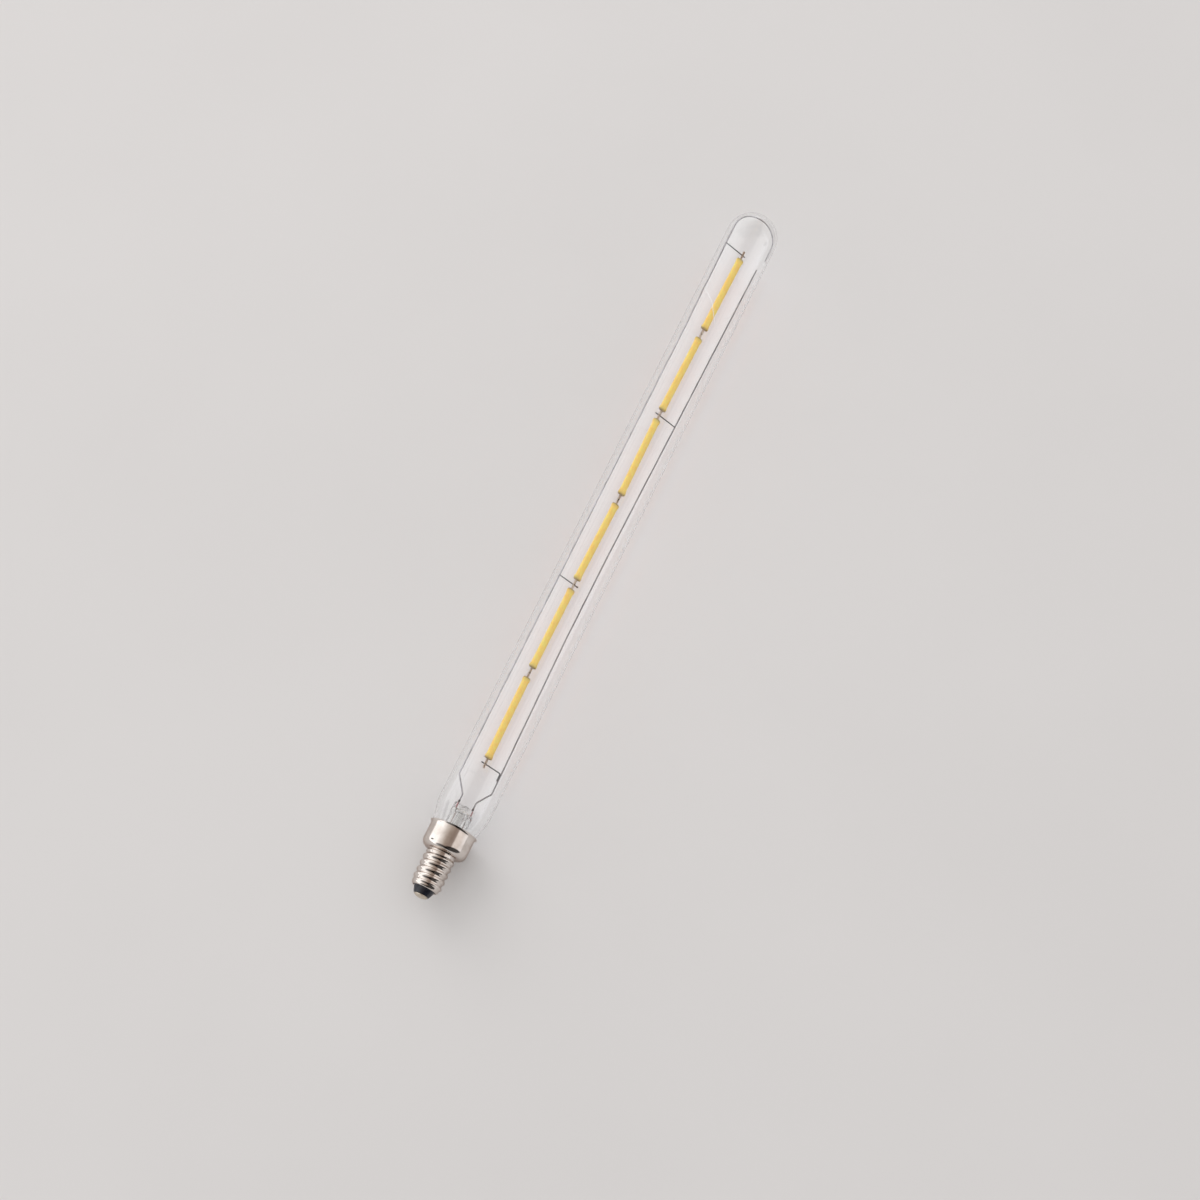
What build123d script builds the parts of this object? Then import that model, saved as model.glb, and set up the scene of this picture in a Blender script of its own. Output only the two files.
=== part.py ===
from build123d import *
import math
import os

# Tubular LED filament bulb, in millimetres. Each piece is drawn with the bulb upright:
# Z is the bulb's axis, the centre contact's tip is at 0 and the dome is at the top.
# The wire frame lies in the XZ plane, seen from -Y. The finished bulb is then laid on its tube.

# Heights stack up from the centre contact, each standing on the one before
contact_height = 1.1
insulator_stand = 2.5
barrel_length = 14.3
shoulder_radius = 2.6
collar_length = 6.2
rim_flare_height = 0.8
seal_rise = 1.0
neck_length = 4.5
neck_taper_length = 10.0
flare_height = 4.0
stem_tube_length = 7.5
press_taper_height = 1.9
press_height = 2.0
inner_bend_rise = 3.5
outer_bend_rise = 9.3
first_joint_rise = 17.5
head_room = 8.45

# Cap shell
thread_diameter = 11.7
thread_depth = 0.635
cap_wall = 0.25
collar_diameter = 17.2
rim_flare = 0.6
lip_curl = 0.9
lip_height = 1.1
shoulder_steps = 2

# Insulator and centre contact
insulator_taper = 1.0
insulator_depth = 2.4
contact_inset = 0.45
contact_dome_height = 0.7
contact_flat_diameter = 3.2

# Glass tube
tube_diameter = 20.5
glass_wall = 0.7
cement_thickness = 0.6

# Stem with its flattened press, and the exhaust tube in it
stem_diameter = 8.4
stem_wall = 0.65
press_thickness = 2.8
press_cavity_thickness = 1.1
exhaust_diameter = 3.0
exhaust_wall = 0.45
exhaust_tip_gap = 0.8

# Wires
lead_wire_diameter = 0.6
cross_wire_diameter = 0.45
seal_wire_diameter = 0.4
outer_lead_diameter = 0.4
seal_wire_spacing = 6.6
seal_wire_stand = 0.2
wire_bend_radius = 1.2
wire_sway_radius = 250.0
wire_sides = 8
loop_clearance = 0.4
loop_tail_rise = 3.9
short_lead_stop = 1.0
short_lead_nib = 0.5
foot_wire_tail = 3.1
foot_wire_bend = 0.5

# How far each lead wire stands in from the glass, and at which joint of the chain
long_lead_foot_standoff = 1.1
long_lead_sway = [(0.95, 5.0)]
short_lead_foot_standoff = 1.85
short_lead_sway = [(3.15, 1.5), (3.05, 2.5)]
short_lead_head_standoff = 0.8

# Filament chain, with the joint places across the tube from foot to head
filament_count = 6
filament_length = 34.0
coat_gap = 4.15
coat_width = 2.8
coat_thickness = 1.7
coat_edge_chamfer = 0.5
strip_width = 0.9
strip_thickness = 0.25
strip_overrun = 1.7
ear_width = 3.1
ear_length = 1.7
joint_offsets = [-0.8, -1.4, -1.4, -0.8, -1.4, -0.9, -0.3]

# Cross wires: joint of the chain, lead wire that carries it, place of its free end
cross_wires = {
    "cross_wire_lower": (2, "long", 0.1),
    "cross_wire_upper": (4, "short", -3.1),
    "cross_wire_head": (6, "long", 1.1),
}
foot_wire_end = -2.4

# Driver in the cap
board_rise = 1.0
board_drop = 0.9
board_thickness = 1.0
board_setback = 1.25
board_side_gap = 0.35
chip_side_margin = 1.7
chip_thickness = 1.5
chip_length = 3.9
chip_tab_thickness = 0.35
chip_tab_reach = 0.5
chip_edge_chamfer = 0.2
rectifier_drop = 3.1
chip_spacing = 2.1
capacitor_diameter = 4.0
capacitor_length = 5.2
fuse_diameter = 2.2
fuse_length = 4.2
fuse_rise = 1.3
live_lead_diameter = 0.5
neutral_lead_diameter = 0.45
board_lead_inset = 1.2
outer_lead_bend = 0.8

# Lying pose: turn of the wire frame about the tube's axis, in degrees
frame_roll = 36.0

# Clearances
fit_gap = 0.03
weld_gap = 0.02

# Worked out from the sizes above
lip_low = contact_height + insulator_stand
barrel_top = lip_low + barrel_length
collar_low = barrel_top + shoulder_radius
collar_high = collar_low + collar_length
rim_top = collar_high + rim_flare_height
seal_height = collar_low + seal_rise
neck_low = seal_height + neck_length
neck_high = neck_low + neck_taper_length
flare_top = seal_height + flare_height
stem_top = flare_top + stem_tube_length
press_low = stem_top + press_taper_height
press_top = press_low + press_height
lead_foot = press_top + seal_wire_stand + weld_gap
filament_pitch = filament_length + coat_gap
first_joint = press_top + first_joint_rise
last_joint = first_joint + filament_count * filament_pitch
dome_centre = last_joint + head_room
tube_radius = tube_diameter / 2
overall_length = dome_centre + tube_radius

lead_radius = lead_wire_diameter / 2
cross_radius = cross_wire_diameter / 2
tube_bore = tube_radius - glass_wall
wire_reach = tube_bore - lead_radius
loop_radius = wire_reach - loop_clearance
collar_radius = collar_diameter / 2
barrel_radius = thread_diameter / 2
root_bore = barrel_radius - thread_depth - cap_wall
lip_radius = barrel_radius - thread_depth - lip_curl
neck_radius = collar_radius - cap_wall - cement_thickness
stem_radius = stem_diameter / 2
stem_bore = stem_radius - stem_wall
exhaust_radius = exhaust_diameter / 2
insulator_top = lip_low + insulator_depth
board_low = insulator_top + board_rise
board_top = collar_low - board_drop
board_middle = -(board_setback + board_thickness / 2)
exhaust_tip = board_top + exhaust_tip_gap
outer_lead_x = (exhaust_radius + stem_bore) / 2


def turned(outline):
    """Solid turned about the bulb's axis from an outline of radius and height."""
    return revolve(Plane.XZ * make_face(outline), Axis.Z)


def polygon_turned(*points):
    """Solid turned about the bulb's axis from straight lines between points."""
    return turned(Polyline(*points, close=True))


def wire_section(radius):
    """Round wire, drawn with flats to keep its mesh light."""
    return RegularPolygon(radius, wire_sides)


def wire_along(path, radius):
    """Wire along a path, from a section square to its start."""
    return sweep(Plane(origin=path @ 0, z_dir=path % 0) * wire_section(radius), path=path)


def straight_wire(start, end, radius):
    """Straight wire between two points."""
    return wire_along(Line(start, end), radius)


def bent_wire(points, radius, bends):
    """Wire through points, each corner rounded to its own bend radius."""
    return wire_along(FilletPolyline(*points, radius=bends), radius)


def in_frame(points):
    """Points of the wire frame's plane, given as place across and height."""
    return [(across, 0, height) for across, height in points]


def joint_height(joint):
    return first_joint + joint * filament_pitch


# Glass


def tube_side(inset):
    """The tube's side from the seal to the dome, moved in by inset."""
    side = tube_radius - inset
    neck = neck_radius - inset
    return [
        Line((neck, seal_height), (neck, neck_low)),
        Line((neck, neck_low), (side, neck_high)),
        Line((side, neck_high), (side, dome_centre)),
        CenterArc((0, dome_centre), side, 0, 90),
    ]


def glass_tube():
    """Blown tube with a round dome, open at the neck."""
    return turned([
        *tube_side(0),
        Line((0, dome_centre + tube_radius), (0, dome_centre + tube_bore)),
        *tube_side(glass_wall),
        Line((neck_radius - glass_wall, seal_height), (neck_radius, seal_height)),
    ])


def seal_wire_line(side):
    """Top and bottom of a seal wire."""
    across = side * seal_wire_spacing / 2
    return (across, 0, press_top + seal_wire_stand), (across, 0, press_low)


def press_room(thickness):
    """Space between the jaws of the press: wide over the tube, then closing in to a flat slot."""
    wide = collar_radius
    half = [(wide, 0), (wide, flare_top), (stem_radius, stem_top), (thickness / 2, press_low)]
    half.append((thickness / 2, press_top))
    outline = Polyline(*half, *[(-y, z) for y, z in reversed(half)], close=True)
    return extrude(Plane.YZ * make_face(outline), wide, both=True)


def stem():
    """Flare tube that opens to the neck's edge, its top pressed flat round the seal wires."""
    foot = seal_height - glass_wall
    outside = polygon_turned(
        (0, foot), (neck_radius, foot), (neck_radius, seal_height), (neck_radius - glass_wall, seal_height),
        (stem_radius, flare_top), (stem_radius, press_top), (0, press_top))
    bore = polygon_turned(
        (0, foot), (neck_radius - glass_wall, foot), (stem_bore, flare_top), (stem_bore, press_low),
        (0, press_low))
    body = outside & press_room(press_thickness)
    body -= bore & press_room(press_cavity_thickness)
    for side in (-1, 1):
        (x, y, top), (x, y, low) = seal_wire_line(side)
        body -= straight_wire((x, y, low - 1), (x, y, top + 1), seal_wire_diameter / 2 + weld_gap)
    return body


def exhaust_tube():
    """Thin tube hung in the stem, open at the press and drawn to a sealed tip."""
    narrowing = (stem_bore - exhaust_radius - fit_gap) / (stem_bore - press_cavity_thickness / 2)
    top = stem_top + press_taper_height * narrowing
    bore = exhaust_radius - exhaust_wall
    shoulder = exhaust_tip + exhaust_radius
    return polygon_turned(
        (0, exhaust_tip), (exhaust_radius, shoulder), (exhaust_radius, top), (bore, top), (bore, shoulder),
        (0, exhaust_tip + exhaust_wall))


# Wires


def lead_line(side):
    """Corners of a lead wire in the frame's plane, from its weld to its last straight run."""
    sign, foot_standoff, sways = {
        "long": (-1, long_lead_foot_standoff, long_lead_sway),
        "short": (1, short_lead_foot_standoff, short_lead_sway),
    }[side]
    corners = [
        (sign * seal_wire_spacing / 2, lead_foot),
        (sign * seal_wire_spacing / 2, press_top + inner_bend_rise),
        (sign * (wire_reach - foot_standoff), press_top + outer_bend_rise),
    ]
    corners += [(sign * (wire_reach - standoff), joint_height(at)) for standoff, at in sways]
    if side == "long":
        return corners + [(-loop_radius, last_joint), (-loop_radius, dome_centre)]
    return corners + [(wire_reach - short_lead_head_standoff, last_joint - short_lead_stop)]


def lead_place(side, height):
    """Where a lead wire's centre lies across the tube at a height."""
    corners = lead_line(side)
    for (x0, z0), (x1, z1) in zip(corners, corners[1:]):
        if height <= z1:
            break
    return x0 + (x1 - x0) * (height - z0) / (z1 - z0)


def lead_bends(corners, first):
    """Bend radius at each inner corner: the first ones as given, the rest gentle sways."""
    return first + [wire_sway_radius] * (len(corners[1:-1]) - len(first))


def long_lead_wire():
    """Left wire, carried round inside the dome to rest the frame against the glass."""
    corners = lead_line("long")
    bends = lead_bends(corners, [wire_bend_radius, wire_bend_radius])
    side = FilletPolyline(*in_frame(corners), radius=bends)
    loop = Plane.XZ * CenterArc((0, dome_centre), loop_radius, 180, -180)
    tail = Line((loop_radius, 0, dome_centre), (loop_radius, 0, last_joint + loop_tail_rise))
    return wire_along(Wire([*side.edges(), *loop.edges(), *tail.edges()]), lead_radius)


def short_lead_wire():
    """Right wire, bent sharply above the press, with a short nib left at the bend."""
    corners = lead_line("short")
    bends = lead_bends(corners, [wire_bend_radius, lead_wire_diameter])
    wire = bent_wire(in_frame(corners), lead_radius, bends)
    x, z = corners[2]
    return wire + straight_wire((x, 0, z + lead_radius), (x, 0, z - short_lead_nib), lead_radius)


def seal_wire(side):
    return straight_wire(*seal_wire_line(side), seal_wire_diameter / 2)


def outer_lead(side):
    """Copper wire from a seal wire down through the stem to the board's top edge."""
    board_x = side * (board_width() / 2 - board_lead_inset)
    points = [
        (side * seal_wire_spacing / 2, 0, press_low - weld_gap),
        (side * outer_lead_x, 0, stem_top),
        (board_x, board_middle, board_top + outer_lead_diameter),
    ]
    return bent_wire(points, outer_lead_diameter / 2, outer_lead_bend)


def cross_wire(joint, lead, free_end):
    """Wire welded to the strips' tabs at a joint, its other end cupped round a lead wire."""
    height = joint_height(joint)
    wire = straight_wire((free_end, 0, height), (lead_place(lead, height), 0, height), cross_radius)
    seat = [(lead_place(lead, z), 0, z) for z in (height - 1, height + 1)]
    return wire - straight_wire(*seat, lead_radius + weld_gap)


def cross_wire_foot():
    """Lowest cross wire, its end bent down and welded along the short lead wire."""
    beside = lead_radius + cross_radius + weld_gap
    heights = (first_joint, first_joint - foot_wire_tail)
    line = [(lead_place("short", z) - beside, z) for z in heights]
    return bent_wire(in_frame([(foot_wire_end, first_joint), *line]), cross_radius, [foot_wire_bend])


# Filaments


def filament_place(number):
    """Plane at the middle of a filament, its Z along the chain; number 0 is at the foot."""
    depth = -(cross_radius + weld_gap + strip_thickness / 2)
    low = Vector(joint_offsets[number], depth, joint_height(number))
    high = Vector(joint_offsets[number + 1], depth, joint_height(number + 1))
    along = (high - low).normalized()
    return Plane(origin=(low + high) / 2, x_dir=(along.Z, 0, -along.X), z_dir=along)


def strip_outline(number, grow):
    """Carrier strip with its tabs and the ears at each end of the coat."""
    width, thickness = strip_width + 2 * grow, strip_thickness + 2 * grow
    half = filament_pitch / 2 - weld_gap
    low = half + (strip_overrun if number == 0 else 0)
    high = half + (strip_overrun if number == filament_count - 1 else 0)
    strip = Pos(0, 0, (high - low) / 2) * Box(width, thickness, high + low)
    ear_middle = filament_length / 2 - ear_length / 2
    for end in (-1, 1):
        ear = Box(ear_width + 2 * grow, thickness, ear_length + 2 * grow)
        strip += Pos(0, 0, end * ear_middle) * ear
    return strip


def filament_strip(number):
    return filament_place(number).location * strip_outline(number, 0)


def filament_coat(number):
    """Yellow phosphor coat moulded round the strip and its chips."""
    section = chamfer(Rectangle(coat_width, coat_thickness).vertices(), coat_edge_chamfer)
    coat = extrude(section, filament_length / 2, both=True)
    return filament_place(number).location * (coat - strip_outline(number, weld_gap))


# Cap


def shell_side(inset):
    """Side of the cap's sheet from the curled lip to the flared rim, moved in by inset."""
    barrel, collar = barrel_radius - inset, collar_radius - inset
    centre, radius = collar_radius - shoulder_radius, shoulder_radius - inset
    turns = [math.pi / 2 * step / shoulder_steps for step in range(1, shoulder_steps + 1)]
    return [
        (lip_radius - inset, lip_low),
        (barrel, lip_low + lip_height),
        (barrel, barrel_top + inset),
        *[(centre + radius * math.sin(turn), collar_low - radius * math.cos(turn)) for turn in turns],
        (collar, collar_high),
        (collar + rim_flare, rim_top),
    ]


def cap_shell():
    """Drawn sheet cap in one wall; its barrel is plain at the size of the thread's crests."""
    return polygon_turned(*shell_side(0), *reversed(shell_side(cap_wall)))


def insulator_foot():
    return lip_radius - cap_wall - insulator_taper


def insulator():
    """Black glass plug: a cone below the lip, and inside it a disc that clears the thread's roots."""
    hole = live_lead_diameter / 2 + fit_gap
    lip = lip_radius - cap_wall - fit_gap
    plug = root_bore - fit_gap
    seat_top = lip_low + (plug - lip) * lip_height / (barrel_radius - lip_radius)
    return polygon_turned(
        (hole, contact_height), (insulator_foot(), contact_height), (lip, lip_low), (plug, seat_top),
        (plug, insulator_top), (hole, insulator_top))


def centre_contact():
    """Domed solder disc under the insulator."""
    edge = insulator_foot() - contact_inset
    top = contact_height - fit_gap
    return polygon_turned(
        (0, 0), (contact_flat_diameter / 2, 0), (edge, contact_dome_height), (edge, top), (0, top))


def basing_cement():
    """Baked cement between the collar and the glass neck."""
    inner, outer = neck_radius + fit_gap, collar_radius - cap_wall - fit_gap
    low = seal_height - glass_wall
    return polygon_turned((inner, low), (outer, low), (outer, neck_low), (inner, neck_low))


# Driver


def board_width():
    """Widest board that clears the thread's roots behind the fuse."""
    depth = board_setback + board_thickness
    return 2 * (math.sqrt(root_bore ** 2 - depth ** 2) - board_side_gap)


def driver_board():
    height = board_top - board_low
    return Pos(0, board_middle, board_low + height / 2) * Box(board_width(), board_thickness, height)


def chip(height):
    """Flat chip package on the board's outer face, with a soldered tab at each end."""
    width = board_width() - 2 * chip_side_margin
    face = -(board_setback + board_thickness + weld_gap)
    body = chamfer(Box(width, chip_thickness, chip_length).edges().filter_by(Axis.X), chip_edge_chamfer)
    tab = Box(width / 2, chip_tab_thickness, chip_length + 2 * chip_tab_reach)
    body += Pos(0, (chip_thickness - chip_tab_thickness) / 2, 0) * tab
    return Pos(0, face - chip_thickness / 2, height) * body


def bridge_rectifier():
    return chip(board_top - rectifier_drop)


def current_regulator():
    return chip(board_top - rectifier_drop - chip_length - chip_spacing)


def smoothing_capacitor():
    depth = capacitor_diameter / 2 + weld_gap - board_setback
    middle = board_top - capacitor_length / 2
    return Pos(0, depth, middle) * Cylinder(capacitor_diameter / 2, capacitor_length)


def fuse_resistor():
    middle = insulator_top + fuse_rise + fuse_length / 2
    return Pos(0, 0, middle) * Cylinder(fuse_diameter / 2, fuse_length)


def live_lead():
    """Wire from the contact's rivet to the fuse resistor."""
    top = insulator_top + fuse_rise - weld_gap
    return straight_wire((0, 0, contact_height), (0, 0, top), live_lead_diameter / 2)


def neutral_lead():
    """Wire from the board's edge to its solder point inside the shell's shoulder."""
    x = board_width() / 2 - neutral_lead_diameter / 2
    centre = collar_radius - shoulder_radius
    flat_half = math.cos(math.pi / shoulder_steps / 4)
    reach = (shoulder_radius - cap_wall) * flat_half - neutral_lead_diameter / 2 - fit_gap
    end = (math.sqrt((centre + reach * 0.8) ** 2 - board_middle ** 2), collar_low - reach * 0.6)
    start = (x, board_middle, board_top + neutral_lead_diameter)
    return straight_wire(start, (end[0], board_middle, end[1]), neutral_lead_diameter / 2)


# Whole bulb


def pieces():
    """Every piece by name, in the upright frame."""
    made = {
        "glass_tube": glass_tube(),
        "stem": stem(),
        "exhaust_tube": exhaust_tube(),
        "long_lead_wire": long_lead_wire(),
        "short_lead_wire": short_lead_wire(),
        "seal_wire_long": seal_wire(-1),
        "seal_wire_short": seal_wire(1),
        "outer_lead_long": outer_lead(-1),
        "outer_lead_short": outer_lead(1),
        "cross_wire_foot": cross_wire_foot(),
        "cap_shell": cap_shell(),
        "insulator": insulator(),
        "centre_contact": centre_contact(),
        "basing_cement": basing_cement(),
        "driver_board": driver_board(),
        "bridge_rectifier": bridge_rectifier(),
        "current_regulator": current_regulator(),
        "smoothing_capacitor": smoothing_capacitor(),
        "fuse_resistor": fuse_resistor(),
        "live_lead": live_lead(),
        "neutral_lead": neutral_lead(),
    }
    for name, (joint, lead, free_end) in cross_wires.items():
        made[name] = cross_wire(joint, lead, free_end)
    for number in range(filament_count):
        place = filament_count - number
        made[f"filament_coat_{place}"] = filament_coat(number)
        made[f"filament_strip_{place}"] = filament_strip(number)
    return made


def lying_place():
    """Head towards +X, resting on the tube, wire frame rolled with its right side low."""
    roll = math.radians(frame_roll)
    return Plane(
        origin=(-overall_length / 2, 0, tube_radius),
        x_dir=(0, -math.cos(roll), -math.sin(roll)),
        z_dir=(1, 0, 0),
    )


os.makedirs("parts", exist_ok=True)
for name, piece in pieces().items():
    export_step(lying_place().location * piece, f"parts/{name}.step")
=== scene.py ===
# A tubular LED filament bulb that lies on a pale table, in the order it is put together.
# Sizes are in millimetres on the upright bulb: across the wire frame, away from the viewer
# of its front, and up from the tip of the centre contact.
import math

import bmesh
import bpy
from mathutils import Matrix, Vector, noise


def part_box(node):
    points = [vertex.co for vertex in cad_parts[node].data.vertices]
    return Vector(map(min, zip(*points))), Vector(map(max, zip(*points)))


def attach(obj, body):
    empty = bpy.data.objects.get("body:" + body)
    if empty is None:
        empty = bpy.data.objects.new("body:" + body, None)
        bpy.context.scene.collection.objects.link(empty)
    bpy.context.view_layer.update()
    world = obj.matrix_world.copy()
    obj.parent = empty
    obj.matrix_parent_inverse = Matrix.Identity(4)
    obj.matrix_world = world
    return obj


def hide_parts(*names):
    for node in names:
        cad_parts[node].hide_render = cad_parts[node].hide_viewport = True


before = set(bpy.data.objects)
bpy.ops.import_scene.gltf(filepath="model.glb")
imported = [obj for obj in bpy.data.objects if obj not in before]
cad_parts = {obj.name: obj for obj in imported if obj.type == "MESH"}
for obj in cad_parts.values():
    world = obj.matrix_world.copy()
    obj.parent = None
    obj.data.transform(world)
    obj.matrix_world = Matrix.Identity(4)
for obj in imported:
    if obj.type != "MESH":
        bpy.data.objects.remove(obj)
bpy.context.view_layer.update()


# Glass tube: soda glass, blown round at the head and drawn in at the foot to the neck
# that the cap takes. It is fused to the stem's flare at its edge.

MM = 0.001
glass_low, glass_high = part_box("glass_tube")
tip_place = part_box("centre_contact")[0][0]
axis_height = (glass_low[2] + glass_high[2]) / 2
tube_radius = (glass_high[2] - glass_low[2]) / 2 / MM
seal_height = (glass_low[0] - tip_place) / MM
dome_centre = (glass_high[0] - tip_place) / MM - tube_radius
glass_wall = 0.7
neck_radius = 7.75
rim_bulge = 0.6
bulge_low = 25.6
bulge_high = 28.2
taper_low = 26.0
neck_high = 37.0
neck_steps = 28
dome_steps = 20
frame_roll = math.radians(36)
gathered_light = (1.035, 1.036, 1.042, 1)


def place(across, away, height):
    """Point of the upright bulb, in millimetres, as a point of the frame."""
    side = away * math.sin(frame_roll) - across * math.cos(frame_roll)
    drop = across * math.sin(frame_roll) + away * math.cos(frame_roll)
    return Vector((tip_place + height * MM, side * MM, axis_height - drop * MM))


def arc(across, height, radius, start, end, steps):
    """Points on an arc of a turned outline, from start to end in degrees."""
    turns = [math.radians(start + (end - start) * step / steps) for step in range(steps + 1)]
    return [(across + radius * math.cos(turn), height + radius * math.sin(turn)) for turn in turns]


def ease(share):
    """Smooth step from 0 to 1."""
    share = min(max(share, 0.0), 1.0)
    return share * share * (3 - 2 * share)


def joined_rings(rings, closed=False, form=None):
    """Skin over rings of points of the bulb, put into a form; a ring of one point closes the skin."""
    form = form or bmesh.new()
    made = [[form.verts.new(place(*point)) for point in ring] for ring in rings]
    pairs = list(zip(made, made[1:])) + ([(made[-1], made[0])] if closed else [])
    sides = max(len(ring) for ring in made)
    for low, high in pairs:
        for side in range(sides):
            beside = (side + 1) % sides
            corners = [low[side % len(low)], low[beside % len(low)],
                       high[beside % len(high)], high[side % len(high)]]
            corners = list(dict.fromkeys(corners))
            if len(corners) > 2:
                form.faces.new(corners)
    return form


def turned(outline, sides=96, closed=True):
    """Skin turned round the bulb's axis from an outline of radius and height."""
    turns = [math.tau * side / sides for side in range(sides)]
    rings = []
    for radius, height in outline:
        if radius:
            rings.append([(radius * math.cos(turn), radius * math.sin(turn), height) for turn in turns])
        else:
            rings.append([(0, 0, height)])
    return joined_rings(rings, closed)


def piece(name, form, material, slot, *nodes, sharp=35):
    """Finished piece of the bulb: smooth, with its sharp corners kept, in place of its CAD nodes."""
    bmesh.ops.recalc_face_normals(form, faces=form.faces)
    for edge in form.edges:
        edge.smooth = edge.calc_face_angle(0) < math.radians(sharp)
    for face in form.faces:
        face.smooth = True
    mesh = bpy.data.meshes.new(name)
    form.to_mesh(mesh)
    form.free()
    mesh.materials.append(material)
    made = bpy.data.objects.new(name, mesh)
    bpy.context.collection.objects.link(made)
    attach(made, "root")
    if nodes:
        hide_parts(*nodes)
    return made


def tube_side(inset):
    """Outline of the tube from its seal to its dome, moved in by inset."""
    neck = []
    for step in range(neck_steps + 1):
        height = bulge_low + (neck_high - bulge_low) * step / neck_steps
        bulge = rim_bulge * ease((height - bulge_low) / (bulge_high - bulge_low))
        taper = (tube_radius - neck_radius - rim_bulge) * ease((height - taper_low) / (neck_high - taper_low))
        neck.append((neck_radius + bulge + taper - inset, height))
    dome = arc(0, dome_centre, tube_radius - inset, 0, 90, dome_steps)[:-1]
    return [(neck_radius - inset, seal_height), *neck, *dome, (0, dome_centre + tube_radius - inset)]


def new_material(name):
    """New material, with its nodes, its links and its Principled BSDF."""
    material = bpy.data.materials.new(name)
    material.use_nodes = True
    nodes = material.node_tree.nodes
    return material, nodes, material.node_tree.links, nodes["Principled BSDF"]


def new_group(name, given, put):
    """Empty node group with its inputs, each with its usual value, and its outputs."""
    group = bpy.data.node_groups.new(name, "ShaderNodeTree")
    for socket, value in given.items():
        made = group.interface.new_socket(socket, in_out="INPUT", socket_type="NodeSocketFloat")
        made.default_value = value
    for socket in put:
        group.interface.new_socket(socket, in_out="OUTPUT", socket_type="NodeSocketFloat")
    return group, group.nodes.new("NodeGroupInput"), group.nodes.new("NodeGroupOutput")


def placed(nodes, group, **values):
    """A node group in a material, with its own values; a name's underscores stand for spaces."""
    node = nodes.new("ShaderNodeGroup")
    node.node_tree = group
    for name, value in values.items():
        node.inputs[name.replace("_", " ").title()].default_value = value
    return node


def ranged(nodes, links, value, low, high, start=0.0, end=1.0, kind="LINEAR"):
    """A value carried from its range of start to end over to one of low to high."""
    node = nodes.new("ShaderNodeMapRange")
    node.interpolation_type = kind
    node.inputs["From Min"].default_value = start
    node.inputs["From Max"].default_value = end
    node.inputs["To Min"].default_value = low
    node.inputs["To Max"].default_value = high
    links.new(value, node.inputs["Value"])
    return node.outputs["Result"]


def raised(nodes, links, shader, height, distance, strength=1.0):
    """Lets a height stand up from a shader's surface, by up to a distance in metres."""
    bump = nodes.new("ShaderNodeBump")
    bump.inputs["Strength"].default_value = strength
    bump.inputs["Distance"].default_value = distance
    links.new(height, bump.inputs["Height"])
    links.new(bump.outputs["Normal"], shader.inputs["Normal"])


def drawn_streaks():
    """Node group: faint lines along the bulb, as drawn glass and wire have."""
    group, given, put = new_group(
        "drawn streaks", {"Across Scale": 400.0, "Along Scale": 12.0}, ("Height", "Mask"))
    nodes, links = group.nodes, group.links
    where = nodes.new("ShaderNodeTexCoord")
    stretch = nodes.new("ShaderNodeCombineXYZ")
    links.new(given.outputs["Along Scale"], stretch.inputs["X"])
    links.new(given.outputs["Across Scale"], stretch.inputs["Y"])
    links.new(given.outputs["Across Scale"], stretch.inputs["Z"])
    scaled = nodes.new("ShaderNodeVectorMath")
    scaled.operation = "MULTIPLY"
    links.new(where.outputs["Object"], scaled.inputs[0])
    links.new(stretch.outputs["Vector"], scaled.inputs[1])
    grain = nodes.new("ShaderNodeTexNoise")
    grain.inputs["Scale"].default_value = 1.0
    grain.inputs["Detail"].default_value = 4.0
    links.new(scaled.outputs["Vector"], grain.inputs["Vector"])
    mask = ranged(nodes, links, grain.outputs["Fac"], 0.0, 1.0, start=0.42, end=0.66)
    links.new(grain.outputs["Fac"], put.inputs["Height"])
    links.new(mask, put.inputs["Mask"])
    return group


def let_light_through(nodes, links, shader, tint):
    """What lights the surfaces beneath passes straight through, tinted, and gathered where over 1."""
    clear = nodes.new("ShaderNodeBsdfTransparent")
    clear.inputs["Color"].default_value = tint
    path = nodes.new("ShaderNodeLightPath")
    passing = nodes.new("ShaderNodeMath")
    passing.operation = "MAXIMUM"
    links.new(path.outputs["Is Shadow Ray"], passing.inputs[0])
    links.new(path.outputs["Is Diffuse Ray"], passing.inputs[1])
    mix = nodes.new("ShaderNodeMixShader")
    links.new(passing.outputs["Value"], mix.inputs["Fac"])
    links.new(shader.outputs["BSDF"], mix.inputs[1])
    links.new(clear.outputs["BSDF"], mix.inputs[2])
    links.new(mix.outputs["Shader"], nodes["Material Output"].inputs["Surface"])


streaks = drawn_streaks()


def glass(name, colour, streak_height, across_scale, along_scale):
    """Clear glass that gathers light as curved glass does, with drawn lines in its surface."""
    material, nodes, links, shader = new_material(name)
    shader.inputs["Base Color"].default_value = (*colour, 1)
    shader.inputs["Transmission Weight"].default_value = 1.0
    shader.inputs["IOR"].default_value = 1.5
    lines = placed(nodes, streaks, across_scale=across_scale, along_scale=along_scale)
    haze = ranged(nodes, links, lines.outputs["Mask"], 0.0, 0.012)
    links.new(haze, shader.inputs["Roughness"])
    raised(nodes, links, shader, lines.outputs["Height"], streak_height)
    let_light_through(nodes, links, shader, gathered_light)
    return material


tube_glass = glass(
    "tube glass", (0.993, 0.996, 0.997), streak_height=0.0000015, across_scale=220.0, along_scale=5.0)
tube_outline = [*tube_side(0), *reversed(tube_side(glass_wall))]
piece("glass_bulb", turned(tube_outline, sides=192), tube_glass, "clear_glass", "glass_tube")


# Hairline: a fine mark in the tube's skin that slants over the filament nearest the head,
# from the left lead wire to the middle. Its pale colour is a painted highlight. Its places are heights and
# turns round the tube.

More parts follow.
